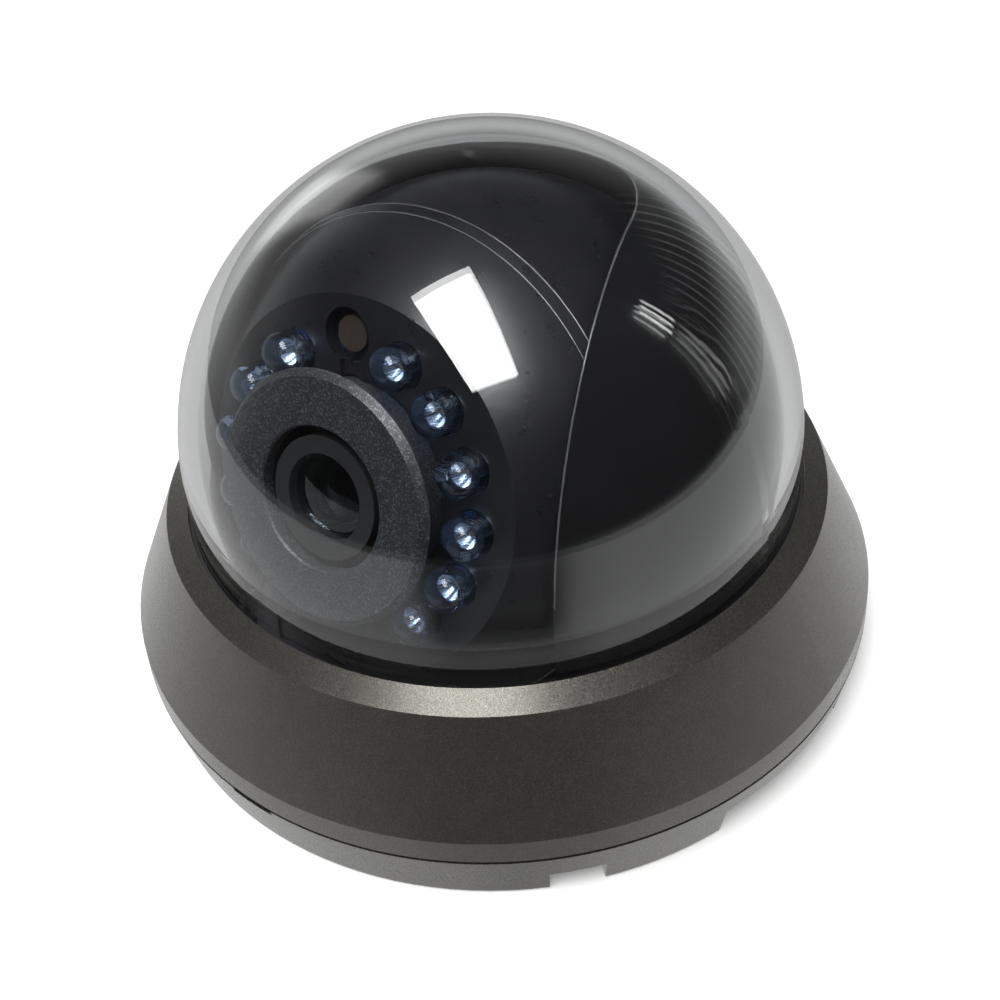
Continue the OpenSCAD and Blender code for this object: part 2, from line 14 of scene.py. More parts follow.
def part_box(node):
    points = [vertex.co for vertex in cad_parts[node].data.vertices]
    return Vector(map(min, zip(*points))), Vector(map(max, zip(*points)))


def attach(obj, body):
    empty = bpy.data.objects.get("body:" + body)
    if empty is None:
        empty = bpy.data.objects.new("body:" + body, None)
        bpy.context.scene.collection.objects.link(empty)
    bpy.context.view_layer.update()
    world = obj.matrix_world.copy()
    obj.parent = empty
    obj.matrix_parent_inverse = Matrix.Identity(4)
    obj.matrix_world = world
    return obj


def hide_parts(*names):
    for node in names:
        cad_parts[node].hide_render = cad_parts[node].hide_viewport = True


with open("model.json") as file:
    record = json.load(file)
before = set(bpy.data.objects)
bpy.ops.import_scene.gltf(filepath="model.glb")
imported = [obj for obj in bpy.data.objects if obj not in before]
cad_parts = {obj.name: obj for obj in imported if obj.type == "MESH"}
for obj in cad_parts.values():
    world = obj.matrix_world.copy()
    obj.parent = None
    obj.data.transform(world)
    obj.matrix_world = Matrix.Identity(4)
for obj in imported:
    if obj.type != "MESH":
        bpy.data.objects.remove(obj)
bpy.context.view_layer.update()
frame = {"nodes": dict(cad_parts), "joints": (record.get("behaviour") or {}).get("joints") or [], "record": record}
MM = 0.001
NODES = frame["nodes"]

WELD = 1e-7  # vertices of a made piece that are closer than this are one
SOLID_WELD = 1e-6  # the same for the vertices of a CAD node

# ---------------------------------------------------------------- the lens frame, from the joints

JOINTS = {joint["name"]: joint for joint in frame["joints"]}
LENS_AXIS = Vector(JOINTS["rotate"]["axis"]).normalized()
CENTRE = Vector(JOINTS["tilt"]["pos_m"])
LENS_UP = (Vector((0, 0, 1)) - LENS_AXIS * LENS_AXIS.z).normalized()
LENS_RIGHT = LENS_UP.cross(LENS_AXIS).normalized()
LENS_FRAME = Matrix.Translation(CENTRE) @ Matrix((LENS_RIGHT, LENS_UP, LENS_AXIS)).transposed().to_4x4()
TO_LENS = LENS_FRAME.inverted()


def corners_of(points):
    """Lowest and highest corners, in the lens frame, of points given in the CAD's frame."""
    turned = [TO_LENS @ p for p in points]
    low = Vector([min(p[i] for p in turned) for i in range(3)])
    high = Vector([max(p[i] for p in turned) for i in range(3)])
    return low, high


def lens_box(node):
    """Lowest and highest corners of a CAD node in the lens frame: x right, y up, z out along the lens."""
    return corners_of(v.co for v in NODES[node].data.vertices)


def loose_parts(node):
    """Vertex positions of each separate solid of a CAD node."""
    grid = bmesh.new()
    grid.from_mesh(NODES[node].data)
    bmesh.ops.remove_doubles(grid, verts=grid.verts, dist=SOLID_WELD)
    seen, parts = set(), []
    for start in grid.verts:
        if start in seen:
            continue
        seen.add(start)
        stack, part = [start], []
        while stack:
            vert = stack.pop()
            part.append(vert.co.copy())
            for edge in vert.link_edges:
                other = edge.other_vert(vert)
                if other not in seen:
                    seen.add(other)
                    stack.append(other)
        parts.append(part)
    grid.free()
    return parts


# ---------------------------------------------------------------- mesh helpers

SHARP_ANGLE = 35


def finish_mesh(grid, name):
    """Turns a bmesh into a smooth-shaded object whose edges over SHARP_ANGLE stay sharp."""
    bmesh.ops.remove_doubles(grid, verts=grid.verts, dist=WELD)
    bmesh.ops.recalc_face_normals(grid, faces=grid.faces)
    mesh = bpy.data.meshes.new(name)
    grid.to_mesh(mesh)
    grid.free()
    mesh.shade_smooth()
    mesh.set_sharp_from_angle(angle=math.radians(SHARP_ANGLE))
    obj = bpy.data.objects.new(name, mesh)
    bpy.context.scene.collection.objects.link(obj)
    return obj


def arc(centre_z, radius, first, last, steps):
    """Points on an arc about (0, centre_z), from one elevation to another in degrees."""
    angles = [math.radians(first + (last - first) * k / steps) for k in range(steps + 1)]
    return [Vector((radius * math.cos(a), centre_z + radius * math.sin(a))) for a in angles]


def add_lathe(grid, outline, segments, matrix):
    """Adds the closed outline (r, z), turned about Z, to a bmesh."""
    rings = []
    for point in outline:
        r, z = max(point[0], 0.0), point[1]
        if r < WELD:
            rings.append([grid.verts.new(matrix @ Vector((0, 0, z)))])
            continue
        ring = []
        for k in range(segments):
            a = 2 * math.pi * k / segments
            ring.append(grid.verts.new(matrix @ Vector((r * math.cos(a), r * math.sin(a), z))))
        rings.append(ring)
    for i, ring in enumerate(rings):
        after = rings[(i + 1) % len(rings)]
        if len(ring) == 1 and len(after) == 1:
            continue
        for k in range(segments):
            n = (k + 1) % segments
            corners = [ring[k % len(ring)], ring[n % len(ring)]]
            corners += [after[n % len(after)], after[k % len(after)]]
            grid.faces.new(list(dict.fromkeys(corners)))


def lathe(name, outline, segments, matrix):
    """One turned piece of its own."""
    grid = bmesh.new()
    add_lathe(grid, outline, segments, matrix)
    return finish_mesh(grid, name)


def add_block(grid, low, high, matrix, bevel=0.0):
    """Adds a box with bevelled edges, given by its corners in the matrix's frame."""
    made = bmesh.ops.create_cube(grid, size=1.0)["verts"]
    size = Vector(high) - Vector(low)
    middle = (Vector(high) + Vector(low)) / 2
    for vert in made:
        vert.co = Vector([vert.co[i] * size[i] for i in range(3)]) + middle
    if bevel > 0:
        edges = list(dict.fromkeys(e for v in made for e in v.link_edges))
        out = bmesh.ops.bevel(grid, geom=edges, offset=bevel, segments=2, affect="EDGES", profile=0.5)
        bevelled = [v for f in out["faces"] for v in f.verts]
        made = dict.fromkeys(bevelled + [v for v in made if v.is_valid])
    for vert in made:
        vert.co = matrix @ vert.co


# ---------------------------------------------------------------- material helpers


def new_material(name):
    material = bpy.data.materials.new(name)
    material.use_nodes = True
    tree = material.node_tree
    return material, tree, tree.nodes["Principled BSDF"]


def add(tree, kind, **values):
    """Adds a node; values whose names are sockets are set as their defaults, the rest as properties."""
    node = tree.nodes.new(kind)
    for key, value in values.items():
        if key in node.inputs:
            node.inputs[key].default_value = value
        else:
            setattr(node, key, value)
    return node


def link(tree, source, target):
    tree.links.new(source, target)


def object_coords(tree):
    return add(tree, "ShaderNodeTexCoord").outputs["Object"]


def ramp(tree, source, stops):
    """Colour ramp with stops [(position, colour or grey)]."""
    node = tree.nodes.new("ShaderNodeValToRGB")
    elements = node.color_ramp.elements
    while len(elements) < len(stops):
        elements.new(0.5)
    for element, (position, colour) in zip(elements, stops):
        element.position = position
        grey = isinstance(colour, (int, float))
        element.color = (colour, colour, colour, 1) if grey else (*colour, 1)
    link(tree, source, node.inputs["Fac"])
    return node.outputs["Color"]


def noise(tree, coords, scale, detail=2.0, roughness=0.5):
    """Fractal noise with the given number of features per metre, about 0.5 on average."""
    node = add(tree, "ShaderNodeTexNoise", Scale=scale, Detail=detail, Roughness=roughness)
    link(tree, coords, node.inputs["Vector"])
    return node.outputs["Fac"]


def mix_colour(tree, factor, a, b, blend_type="MIX"):
    """Mixes two colours, each of which is a socket or a fixed value."""
    node = add(tree, "ShaderNodeMix", data_type="RGBA", blend_type=blend_type)
    for value, socket in ((factor, node.inputs[0]), (a, node.inputs[6]), (b, node.inputs[7])):
        if isinstance(value, bpy.types.NodeSocket):
            link(tree, value, socket)
        else:
            socket.default_value = value if isinstance(value, (int, float)) else (*value, 1)
    return node.outputs[2]


def bump(tree, height, strength, distance):
    node = add(tree, "ShaderNodeBump", Strength=strength, Distance=distance)
    link(tree, height, node.inputs["Height"])
    return node.outputs["Normal"]


# Features per metre of the patterns on the materials
MOTTLE = 450
CLOUDS = 38
PAINT_RELIEF = 2600
PLASTIC_TINT = 120
PLASTIC_SCUFF = 260
TOOL_LINES = 900
TOOL_STRETCH = (1, 1, 30)

FLAKE_GLOSS = (-0.08, 0.09)  # roughness of the glossiest and the dullest flakes, against the paint's own


def speckled_paint(name, base, flake, flake_size, flake_share, roughness, metallic, sheen=0.0):
    """Satin paint with fine metal flakes: every cell of a fine Voronoi pattern is one flake."""
    material, tree, shader = new_material(name)
    coords = object_coords(tree)
    cells = add(tree, "ShaderNodeTexVoronoi", Scale=1 / flake_size, Randomness=1.0)
    link(tree, coords, cells.inputs["Vector"])
    pick = add(tree, "ShaderNodeSeparateColor")
    link(tree, cells.outputs["Color"], pick.inputs["Color"])
    bright = ramp(tree, pick.outputs["Red"], [(0.0, 0.0), (1 - flake_share, 0.0), (1.0, 1.0)])
    mottle = ramp(tree, noise(tree, coords, MOTTLE, 4.0, 0.6), [(0.3, 0.93), (0.7, 1.07)])
    cloud = ramp(tree, noise(tree, coords, CLOUDS, 3.0, 0.6), [(0.3, 0.95), (0.7, 1.05)])
    grain = ramp(tree, pick.outputs["Green"], [(0.0, 0.90), (1.0, 1.12)])
    colour = mix_colour(tree, bright, base, flake)
    for layer in (mottle, cloud, grain):
        colour = mix_colour(tree, 1.0, colour, layer, "MULTIPLY")
    link(tree, colour, shader.inputs["Base Color"])
    glossy, dull = [roughness + change for change in FLAKE_GLOSS]
    rough = ramp(tree, pick.outputs["Green"], [(0.0, glossy), (1.0, dull)])
    link(tree, rough, shader.inputs["Roughness"])
    relief = mix_colour(tree, 0.5, pick.outputs["Blue"], noise(tree, coords, PAINT_RELIEF))
    link(tree, bump(tree, relief, 0.35, 0.03 * MM), shader.inputs["Normal"])
    shader.inputs["Metallic"].default_value = metallic
    shader.inputs["Sheen Weight"].default_value = sheen
    return material


def smooth_plastic(name, colour, roughness, scuff=0.03, grain_scale=2500, grain=0.0, coat=0.0):
    """Moulded plastic: faintly cloudy, of varied roughness and, where asked, with a fine eroded grain."""
    material, tree, shader = new_material(name)
    coords = object_coords(tree)
    darker = [c * 0.85 for c in colour]
    lighter = [c * 1.15 for c in colour]
    tint = ramp(tree, noise(tree, coords, PLASTIC_TINT, 3.0), [(0.3, darker), (0.7, lighter)])
    link(tree, tint, shader.inputs["Base Color"])
    glossy = max(roughness - scuff, 0.02)
    marks = noise(tree, coords, PLASTIC_SCUFF, 5.0, 0.65)
    rough = ramp(tree, marks, [(0.35, glossy), (0.75, roughness + scuff)])
    link(tree, rough, shader.inputs["Roughness"])
    if grain > 0:
        relief = noise(tree, coords, grain_scale, 3.0, 0.6)
        link(tree, bump(tree, relief, grain, 0.04 * MM), shader.inputs["Normal"])
    shader.inputs["Coat Weight"].default_value = coat
    shader.inputs["Coat Roughness"].default_value = 0.03
    return material


def turned_metal(name, colour, roughness):
    """Metal with fine tool lines."""
    material, tree, shader = new_material(name)
    coords = object_coords(tree)
    mapping = add(tree, "ShaderNodeMapping")
    mapping.inputs["Scale"].default_value = TOOL_STRETCH
    link(tree, coords, mapping.inputs["Vector"])
    lines = noise(tree, mapping.outputs["Vector"], TOOL_LINES, 4.0, 0.6)
    tint = ramp(tree, lines, [(0.3, [c * 0.82 for c in colour]), (0.7, colour)])
    link(tree, tint, shader.inputs["Base Color"])
    link(tree, ramp(tree, lines, [(0.3, roughness), (0.7, roughness + 0.18)]), shader.inputs["Roughness"])
    link(tree, bump(tree, lines, 0.15, 0.02 * MM), shader.inputs["Normal"])
    shader.inputs["Metallic"].default_value = 1.0
    return material


def clear_glass(name, colour, ior):
    """Polished clear solid. It casts only a faint tinted shadow, so the lights reach what is inside it."""
    material, tree, shader = new_material(name)
    shader.inputs["Base Color"].default_value = (*colour, 1)
    shader.inputs["Transmission Weight"].default_value = 1.0
    shader.inputs["IOR"].default_value = ior
    shader.inputs["Roughness"].default_value = 0.0
    rays = add(tree, "ShaderNodeLightPath")
    through = add(tree, "ShaderNodeBsdfTransparent")
    through.inputs["Color"].default_value = (*[0.5 + 0.5 * c for c in colour], 1)
    mix = add(tree, "ShaderNodeMixShader")
    link(tree, rays.outputs["Is Shadow Ray"], mix.inputs[0])
    link(tree, shader.outputs["BSDF"], mix.inputs[1])
    link(tree, through.outputs["BSDF"], mix.inputs[2])
    link(tree, mix.outputs["Shader"], tree.nodes["Material Output"].inputs["Surface"])
    return material


def assign(obj, material):
    obj.data.materials.clear()
    obj.data.materials.append(material)


# ---------------------------------------------------------------- materials

PAINT = speckled_paint(
    "housing_paint",
    base=(0.066, 0.063, 0.0555),
    flake=(0.110, 0.107, 0.0955),
    flake_size=0.09 * MM,
    flake_share=0.16,
    roughness=0.25,
    metallic=0.75,
    sheen=0.13,
)
PLATE_PAINT = speckled_paint(
    "plate_paint",
    base=(0.015, 0.016, 0.018),
    flake=(0.085, 0.09, 0.105),
    flake_size=0.13 * MM,
    flake_share=0.32,
    roughness=0.44,
    metallic=0.40,
)
DOME = clear_glass("dome_clear", (0.96, 0.975, 0.98), 1.52)
LINER = smooth_plastic("liner_gloss", (0.006, 0.006, 0.0065), 0.12, scuff=0.015)
BALL = smooth_plastic("ball_satin", (0.006, 0.006, 0.007), 0.30, grain=0.10)
# Mid grey, far lighter than the black parts these beads edge: a painted highlight along the edges, on top of the
# beads' real gloss
HIGHLIGHT_EDGE = smooth_plastic("edge_painted_highlight", (0.06, 0.06, 0.063), 0.18, scuff=0.04)
TABLE = smooth_plastic("table_textured", (0.026, 0.026, 0.028), 0.48, grain=0.5)
RUBBER = smooth_plastic("rubber_matt", (0.012, 0.012, 0.012), 0.62, grain=0.3, grain_scale=1800)
LENS_BLACK = smooth_plastic("lens_satin", (0.008, 0.008, 0.009), 0.40, grain=0.15)
STEEL = turned_metal("screw_zinc", (0.62, 0.62, 0.60), 0.24)
BRASS = turned_metal("lock_turned", (0.40, 0.31, 0.15), 0.3)
BOARD = smooth_plastic("board_green", (0.012, 0.075, 0.035), 0.30, coat=0.3)
LED_BOARD = smooth_plastic("board_black", (0.010, 0.011, 0.014), 0.40)
CHIP = smooth_plastic("chip_moulded", (0.015, 0.015, 0.016), 0.45, grain=0.4)
LED_CLEAR = clear_glass("led_clear", (0.50, 0.68, 1.0), 1.54)
LEADFRAME = turned_metal("lamp_leadframe", (0.80, 0.81, 0.83), 0.16)
LAMP_FOOT = smooth_plastic("lamp_foot", (0.10, 0.118, 0.145), 0.30, grain=0.5, grain_scale=1500)
DIE = smooth_plastic("lamp_die", (0.10, 0.08, 0.06), 0.15)
LENS_GLASS = clear_glass("lens_glass", (0.26, 0.32, 0.36), 1.6)
INNER_LENS = smooth_plastic("inner_lens_coated", (0.004, 0.005, 0.008), 0.05, scuff=0.02)
SOLDER = turned_metal("solder", (0.75, 0.75, 0.74), 0.3)
CERAMIC = smooth_plastic("capacitor_ceramic", (0.36, 0.25, 0.15), 0.4)
FILTER = clear_glass("filter_glass", (0.45, 0.85, 0.85), 1.5)
SENSOR = smooth_plastic("sensor_face", (0.05, 0.04, 0.07), 0.08)
PHOTOCELL = smooth_plastic("photocell_resin", (0.022, 0.017, 0.014), 0.30)
CREAM = smooth_plastic("connector_cream", (0.60, 0.55, 0.42), 0.45)

BY_SLOT = {
    "housing_paint": PAINT,
    "dome_clear": DOME,
    "liner_black": LINER,
    "ball_black": BALL,
    "table_black": TABLE,
    "rubber": RUBBER,
    "led_clear": LED_CLEAR,
    "lens_glass": LENS_GLASS,
    "filter_glass": FILTER,
    "lens_black": LENS_BLACK,
    "screw_steel": STEEL,
    "lock_brass": BRASS,
    "board_green": BOARD,
    "chip_black": CHIP,
    "sensor_face": SENSOR,
    "photocell_face": PHOTOCELL,
    "connector_cream": CREAM,
}
for part in frame["record"]["subparts"]:
    assign(NODES[part["node"]], BY_SLOT[part["material_slot"]])
assign(NODES["lens_plate"], PLATE_PAINT)
assign(NODES["led_board"], LED_BOARD)

# ---------------------------------------------------------------- infrared lamps


def lamp_places():
    """Each lamp in the lens frame: x and y of its centre, and its lowest and highest point along the axis."""
    places = []
    for part in loose_parts("ir_leds"):
        low, high = corners_of(part)
        places.append(((low.x + high.x) / 2, (low.y + high.y) / 2, low.z, high.z))
    return places


LAMP_R = 2.40 * MM
LAMP_SKIN = 0.02 * MM  # the made lamp lies this far inside the CAD's
FLANGE_HIGH = 1.0 * MM
FLANGE_PROUD = 0.42 * MM
FLANGE_EDGE = 0.05 * MM
CUP_R = 0.90 * MM
CUP_FLOOR_R = 0.38 * MM
CUP_DEPTH = 0.62 * MM
CUP_BELOW_DOME = 0.35 * MM  # the cup's rim, below the centre of the lamp's round end
CUP_LIP = 0.1 * MM
STEM_R = 0.42 * MM
SHOULDER_R = 0.5 * MM
STEM_FOOT = 0.3 * MM
DIE_HALF = 0.16 * MM
DIE_HIGH = 0.17 * MM
LEAD_BEVEL = 0.05 * MM
FOOT_R = 2.1 * MM
FOOT_TOP_R = 0.8 * MM
FOOT_HIGH = 2.2 * MM
FOOT_EDGE = 0.2 * MM
FOOT_GAP = 0.05 * MM
FOOT_SIDES = 7
LAMP_TURN = 0.7  # radians that each lamp is turned against the one before it


def lamp_outline(bottom, dome_centre, radius):
    """Half outline of the clear body: round end, straight side and flange."""
    outline = arc(dome_centre, radius, 90, 0, 24)
    outline.append(Vector((radius, bottom + FLANGE_HIGH)))
    outline.append(Vector((radius + FLANGE_PROUD - LAMP_SKIN, bottom + FLANGE_HIGH - FLANGE_EDGE)))
    outline.append(Vector((radius + FLANGE_PROUD, bottom + LAMP_SKIN)))
    outline.append(Vector((0, bottom + LAMP_SKIN)))
    return outline


def foot_outline(bottom):
    """Half outline of the foot that the posts stand in."""
    low = bottom + FOOT_GAP
    top = bottom + FOOT_HIGH
    return [(SHOULDER_R, low), (FOOT_R, low), (FOOT_R, low + FOOT_EDGE), (FOOT_TOP_R, top), (SHOULDER_R, top)]


def cup_outline(bottom, cup_top):
    """Half outline of the reflector cup on its stem."""
    return [
        (0, cup_top - CUP_DEPTH),
        (CUP_FLOOR_R, cup_top - CUP_DEPTH),
        (CUP_R - CUP_LIP, cup_top),
        (CUP_R, cup_top),
        (CUP_R, cup_top - 0.8 * MM),
        (SHOULDER_R, cup_top - 1.1 * MM),
        (STEM_R, bottom + STEM_FOOT),
        (0, bottom + STEM_FOOT),
    ]


def add_second_post(grid, bottom, cup_top, matrix):
    """Adds the post beside the cup and the flag on top of it."""
    post_low = (1.2 * MM, -0.25 * MM, bottom + STEM_FOOT)
    post_high = (1.65 * MM, 0.25 * MM, cup_top + 0.1 * MM)
    add_block(grid, post_low, post_high, matrix, LEAD_BEVEL)
    flag_low = (0.95 * MM, -0.35 * MM, cup_top - 0.15 * MM)
    flag_high = (1.7 * MM, 0.35 * MM, cup_top + 0.25 * MM)
    add_block(grid, flag_low, flag_high, matrix, LEAD_BEVEL)


def make_lamps():
    """Each lamp: a clear bluish body, with a faceted foot, the cup, its die and the second post inside."""
    bodies, frames, dies, feet = bmesh.new(), bmesh.new(), bmesh.new(), bmesh.new()
    radius = LAMP_R - LAMP_SKIN
    for n, (x, y, bottom, top) in enumerate(lamp_places()):
        here = LENS_FRAME @ Matrix.Translation((x, y, 0)) @ Matrix.Rotation(LAMP_TURN * n, 4, "Z")
        dome_centre = top - LAMP_SKIN - radius
        cup_top = dome_centre - CUP_BELOW_DOME
        add_lathe(bodies, lamp_outline(bottom, dome_centre, radius), 48, here)
        add_lathe(feet, foot_outline(bottom), FOOT_SIDES, here)
        add_lathe(frames, cup_outline(bottom, cup_top), 32, here)
        add_second_post(frames, bottom, cup_top, here)
        die_low = cup_top - CUP_DEPTH
        die_high = die_low + DIE_HIGH
        add_block(dies, (-DIE_HALF, -DIE_HALF, die_low), (DIE_HALF, DIE_HALF, die_high), here)
    lamps = finish_mesh(bodies, "lamp_bodies")
    assign(lamps, LED_CLEAR)
    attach(lamps, "face")
    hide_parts("ir_leds")
    inner = (
        (frames, "lamp_leadframes", LEADFRAME),
        (dies, "lamp_dies", DIE),
        (feet, "lamp_feet", LAMP_FOOT),
    )
    for grid, name, material in inner:
        piece = finish_mesh(grid, name)
        assign(piece, material)
        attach(piece, "face")


# ---------------------------------------------------------------- lens

LENS_SKIN = 0.02 * MM  # the made glass lies this far inside the CAD's
CROWN_HIGH = 0.7 * MM
HOLLOW_R = 9.0 * MM  # radius of the ground hollow in the glass's back
HOLLOW_HALF = 3.1 * MM
TUNNEL_R = 3.15 * MM
STOP_R = 2.3 * MM
STOP_LIP_R = 2.9 * MM
SECOND_R = 3.2 * MM
SECOND_DEPTH = 4.6 * MM
SECOND_BACK = 3.4 * MM


def make_front_glass(glass_r, back, top):
    """The coated front glass: crowned in front and hollow behind."""
    crown_r = (glass_r**2 + CROWN_HIGH**2) / (2 * CROWN_HIGH)
    half = math.degrees(math.asin((glass_r - LENS_SKIN) / crown_r))
    outline = arc(top - LENS_SKIN - crown_r, crown_r, 90, 90 - half, 16)
    outline += [Vector((glass_r - LENS_SKIN, back)), Vector((HOLLOW_HALF, back))]
    half_back = math.asin(HOLLOW_HALF / HOLLOW_R)
    hollow_centre = back - HOLLOW_R * math.cos(half_back)
    outline += arc(hollow_centre, HOLLOW_R, 90 - math.degrees(half_back), 90, 10)
    glass = lathe("front_glass", outline, 96, LENS_FRAME)
    assign(glass, LENS_GLASS)
    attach(glass, "face")
    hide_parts("front_lens")


def make_lens():
    """The front glass and, behind it in the barrel, a stop ring and a second small glass."""
    low, high = lens_box("front_lens")
    back = low.z + LENS_SKIN
    make_front_glass(high.x, back, high.z)
    stop = [
        (TUNNEL_R, back - 0.1 * MM),
        (TUNNEL_R, back - 1.3 * MM),
        (STOP_R, back - 1.3 * MM),
        (STOP_R, back - 1.1 * MM),
        (STOP_LIP_R, back - 0.1 * MM),
    ]
    ring = lathe("lens_stop", stop, 64, LENS_FRAME)
    assign(ring, LENS_BLACK)
    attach(ring, "face")
    second = arc(back - SECOND_DEPTH, SECOND_R, 90, 38, 12)
    second += [Vector((second[-1].x, back - SECOND_BACK)), Vector((0, back - SECOND_BACK))]
    inner = lathe("second_glass", second, 64, LENS_FRAME)
    assign(inner, INNER_LENS)
    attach(inner, "face")


# ---------------------------------------------------------------- edges of the liner's slot and of the shell, in a lighter grey that paints their highlights

BEAD_R = 0.11 * MM
BEAD_PROUD = 0.08 * MM
BEAD_SIDES = 10
NO_LENGTH = 1e-6  # a sideways vector that is shorter than this gives no direction


def add_bead(grid, path):
    """Adds a round bead along a path of points."""
    rings = []
    for i, point in enumerate(path):
        ahead = path[min(i + 1, len(path) - 1)] - path[max(i - 1, 0)]
        along = ahead.normalized()
        side = along.cross(Vector((0, 0, 1)))
        side = side.normalized() if side.length > NO_LENGTH else Vector((1, 0, 0))
        other = along.cross(side)
        ring = []
        for k in range(BEAD_SIDES):
            a = 2 * math.pi * k / BEAD_SIDES
            ring.append(grid.verts.new(point + (side * math.cos(a) + other * math.sin(a)) * BEAD_R))
        rings.append(ring)
    for first, second in zip(rings, rings[1:]):
        for k in range(BEAD_SIDES):
            n = (k + 1) % BEAD_SIDES
            grid.faces.new([first[k], first[n], second[n], second[k]])
    grid.faces.new(rings[0])
    grid.faces.new(list(reversed(rings[-1])))


SLOT_HALF = 17.0 * MM  # radius of the slot's round end
SLOT_FLARE = 17.0  # how far each side of the slot leans outwards towards the front
SLOT_FOOT = 2.2 * MM  # from the liner's lower end to the slot's
SLOT_STEP = 0.5 * MM
SLOT_END_STEPS = 48


def slot_edge(radius):
    """The slot's edge seen from above, (x, y), as far as it lies on the liner's sphere of this radius."""
    flare = math.radians(SLOT_FLARE)
    half = SLOT_HALF + BEAD_R - BEAD_PROUD
    right, left = [], []
    reach = 0.0
    while True:
        reach += SLOT_STEP
        x = half * math.cos(flare) + reach * math.sin(flare)
        y = half * math.sin(flare) - reach * math.cos(flare)
        if math.hypot(x, y) > radius:
            break
        right.append((x, y))
        left.append((-x, y))
    sweep = math.pi - 2 * flare
    turns = [flare + sweep * k / SLOT_END_STEPS for k in range(SLOT_END_STEPS + 1)]
    round_end = [(half * math.cos(a), half * math.sin(a)) for a in turns]
    return list(reversed(right)) + round_end + left


def make_slot_bead():
    """The fine rounded edge of the slot in the liner, standing a hair proud of it. Its grey, lighter than the
    black liner, is a painted highlight along the edge, on top of the bead's real gloss.
    """
    low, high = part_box("liner")
    radius = high[0] - BEAD_R + BEAD_PROUD
    path = [Vector((x, y, 0)) for x, y in slot_edge(radius)]
    for p in path:
        p.z = CENTRE.z + math.sqrt(max(radius**2 - p.x**2 - p.y**2, 0))
    slot_foot = low[2] + SLOT_FOOT
    path.insert(0, Vector((path[0].x, path[0].y, slot_foot)))
    path.append(Vector((path[-1].x, path[-1].y, slot_foot)))
    grid = bmesh.new()
    add_bead(grid, path)
    bead = finish_mesh(grid, "liner_slot_edge")
    assign(bead, HIGHLIGHT_EDGE)
    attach(bead, "pan_table")


SHELL_LINES = (0.1 * MM, 1.3 * MM)  # ahead of the front shell's rear edge


def make_shell_edges():
    """Two fine raised lines round the front shell: its rear edge and a step just ahead of it. Their grey, lighter
    than the black shell, paints highlights along both lines, on top of their real gloss.
    """
    low, high = lens_box("front_shell")
    shell_r = math.hypot(high.x, low.z)
    grid = bmesh.new()
    turns = [2 * math.pi * k / BEAD_SIDES for k in range(BEAD_SIDES)]
    for ahead in SHELL_LINES:
        z = low.z + ahead
        r = math.sqrt(shell_r**2 - z**2) - BEAD_R + 0.6 * BEAD_PROUD
        outline = [(r + BEAD_R * math.cos(a), z + BEAD_R * math.sin(a)) for a in turns]
        add_lathe(grid, outline, 192, LENS_FRAME)
    edges = finish_mesh(grid, "shell_edge_lines")
    assign(edges, HIGHLIGHT_EDGE)
    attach(edges, "face")


# ---------------------------------------------------------------- parts on the boards

SMALL_PARTS = 46
MOST_TRIES = 2000
PART_SIZES = ((1.0, 0.5, 0.45), (1.6, 0.8, 0.5), (2.0, 1.25, 0.7))  # length, width and height in millimetres
PART_GAP = 0.5 * MM
BOARD_MARGIN = 2.6 * MM
SCREW_PLACE = 12.5 * MM  # each board screw's distance from the board's middle, along both sides
SCREW_CLEAR = 3.5 * MM
END_SHARE = 0.22  # share of a part's length that each soldered end takes
END_PROUD = 0.02 * MM


def near_screw(x, y):
    return math.hypot(abs(x) - SCREW_PLACE, abs(y) - SCREW_PLACE) < SCREW_CLEAR


def overlaps(x, y, reach_x, reach_y, low, high):
    """Whether a part that reaches this far round (x, y) meets the box from low to high."""
    inside_x = low.x - reach_x < x < high.x + reach_x
    inside_y = low.y - reach_y < y < high.y + reach_y
    return inside_x and inside_y


def place_board_parts():
    """Middle and size of each small part, spread at random over the free places of the main board."""
    low, high = lens_box("main_board")
    taken = [lens_box(node) for node in ("processor_chip", "board_connector")]
    rng = random.Random(4)
    placed = []
    for _ in range(MOST_TRIES):
        if len(placed) == SMALL_PARTS:
            break
        length, width, height = [v * MM for v in rng.choice(PART_SIZES)]
        along_x = rng.random() < 0.5
        size_x, size_y = (length, width) if along_x else (width, length)
        x = rng.uniform(low.x + BOARD_MARGIN, high.x - BOARD_MARGIN)
        y = rng.uniform(low.y + BOARD_MARGIN, high.y - BOARD_MARGIN)
        reach_x, reach_y = size_x / 2 + PART_GAP, size_y / 2 + PART_GAP
        if any(abs(x - q[0]) < reach_x + q[2] / 2 and abs(y - q[1]) < reach_y + q[3] / 2 for q in placed):
            continue
        if near_screw(x, y) or any(overlaps(x, y, reach_x, reach_y, *box) for box in taken):
            continue
        placed.append((x, y, size_x, size_y, height))
    return placed


